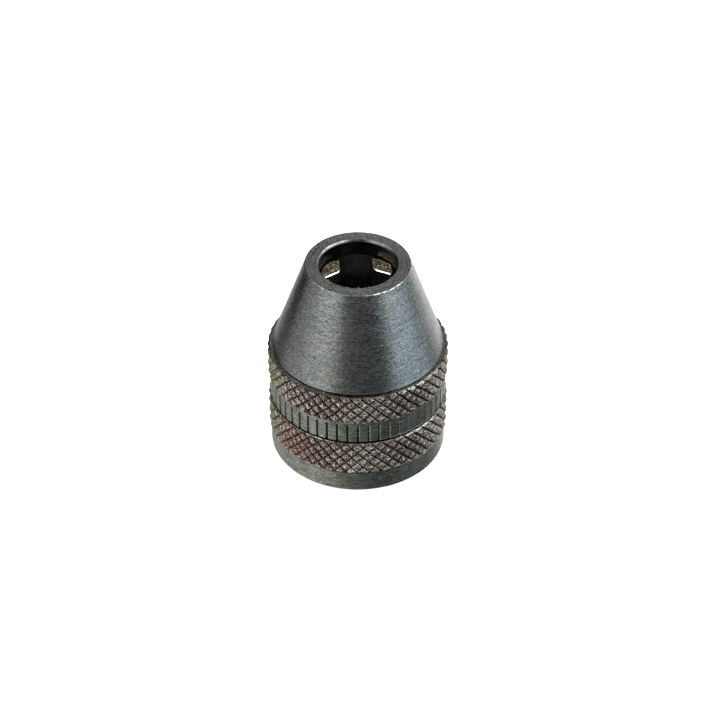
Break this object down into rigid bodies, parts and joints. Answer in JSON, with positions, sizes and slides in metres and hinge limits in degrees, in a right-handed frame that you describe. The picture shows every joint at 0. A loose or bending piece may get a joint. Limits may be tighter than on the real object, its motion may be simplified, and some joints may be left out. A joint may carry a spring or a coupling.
{
  "type": "keyless drill chuck",
  "caption": "Small keyless drill chuck for a rotary tool: a knurled sleeve with a cone nose turns on a knurled base and closes jaws on a bit.",
  "frame": {"origin": "on the chuck's axis at its flat underside", "axes": "+Z along the chuck's axis from the spindle socket towards the nose; one jaw lies 35 degrees from +X towards +Y"},
  "size_m": [0.02, 0.02, 0.0239],
  "materials": {
    "black_oxide": "turned steel with a satin black-oxide finish",
    "knurled_steel": "diamond-knurled steel, oiled black oxide with worn crests",
    "plain_steel": "turned and oiled steel",
    "jaw_steel": "hardened steel with a straw temper colour and ground edges",
    "spring_steel": "bright spring wire"
  },
  "bodies": {
    "base": {"spindle_core": "plain_steel", "base_ring": "knurled_steel", "snap_ring": "spring_steel", "thrust_washer": "plain_steel"},
    "sleeve": {"nose_sleeve": "black_oxide", "grip_ring": "knurled_steel"},
    "nut": {"thrust_nut": "plain_steel", "drive_key_1": "plain_steel", "drive_key_2": "plain_steel", "drive_key_3": "plain_steel"},
    "jaw_1": {"jaw_1": "jaw_steel"},
    "jaw_2": {"jaw_2": "jaw_steel"},
    "jaw_3": {"jaw_3": "jaw_steel"},
    "spring_1": {"jaw_spring_1": "spring_steel"},
    "spring_2": {"jaw_spring_2": "spring_steel"},
    "spring_3": {"jaw_spring_3": "spring_steel"}
  },
  "joints": [
    {"name": "sleeve_turn", "type": "hinge", "parent": "base", "child": "sleeve", "pos_m": [0, 0, 0], "axis": [0, 0, -1], "range_deg": [0, 1440]},
    {"name": "nut_travel", "type": "slide", "parent": "sleeve", "child": "nut", "axis": [0, 0, 1], "range_m": [0, 0.00401]},
    {"name": "jaw_1_travel", "type": "slide", "parent": "sleeve", "child": "jaw_1", "axis": [-0.3593, -0.2516, 0.8987], "range_m": [0, 0.00446]},
    {"name": "jaw_2_travel", "type": "slide", "parent": "sleeve", "child": "jaw_2", "axis": [0.3975, -0.1853, 0.8987], "range_m": [0, 0.00446]},
    {"name": "jaw_3_travel", "type": "slide", "parent": "sleeve", "child": "jaw_3", "axis": [-0.0382, 0.4369, 0.8987], "range_m": [0, 0.00446]},
    {"name": "spring_1_travel", "type": "slide", "parent": "sleeve", "child": "spring_1", "axis": [0.0207, -0.2361, 0.9715], "range_m": [0, 0.00413], "deforming": ["jaw_spring_1"]},
    {"name": "spring_2_travel", "type": "slide", "parent": "sleeve", "child": "spring_2", "axis": [0.1942, 0.136, 0.9715], "range_m": [0, 0.00413], "deforming": ["jaw_spring_2"]},
    {"name": "spring_3_travel", "type": "slide", "parent": "sleeve", "child": "spring_3", "axis": [-0.2148, 0.1002, 0.9715], "range_m": [0, 0.00413], "deforming": ["jaw_spring_3"]}
  ],
  "couplings": [
    {"joint": "nut_travel", "follows": "sleeve_turn", "m_per_rad": 0.00015915},
    {"joint": "jaw_1_travel", "follows": "sleeve_turn", "m_per_rad": 0.00017709},
    {"joint": "jaw_2_travel", "follows": "sleeve_turn", "m_per_rad": 0.00017709},
    {"joint": "jaw_3_travel", "follows": "sleeve_turn", "m_per_rad": 0.00017709},
    {"joint": "spring_1_travel", "follows": "sleeve_turn", "m_per_rad": 0.00016382},
    {"joint": "spring_2_travel", "follows": "sleeve_turn", "m_per_rad": 0.00016382},
    {"joint": "spring_3_travel", "follows": "sleeve_turn", "m_per_rad": 0.00016382}
  ]
}
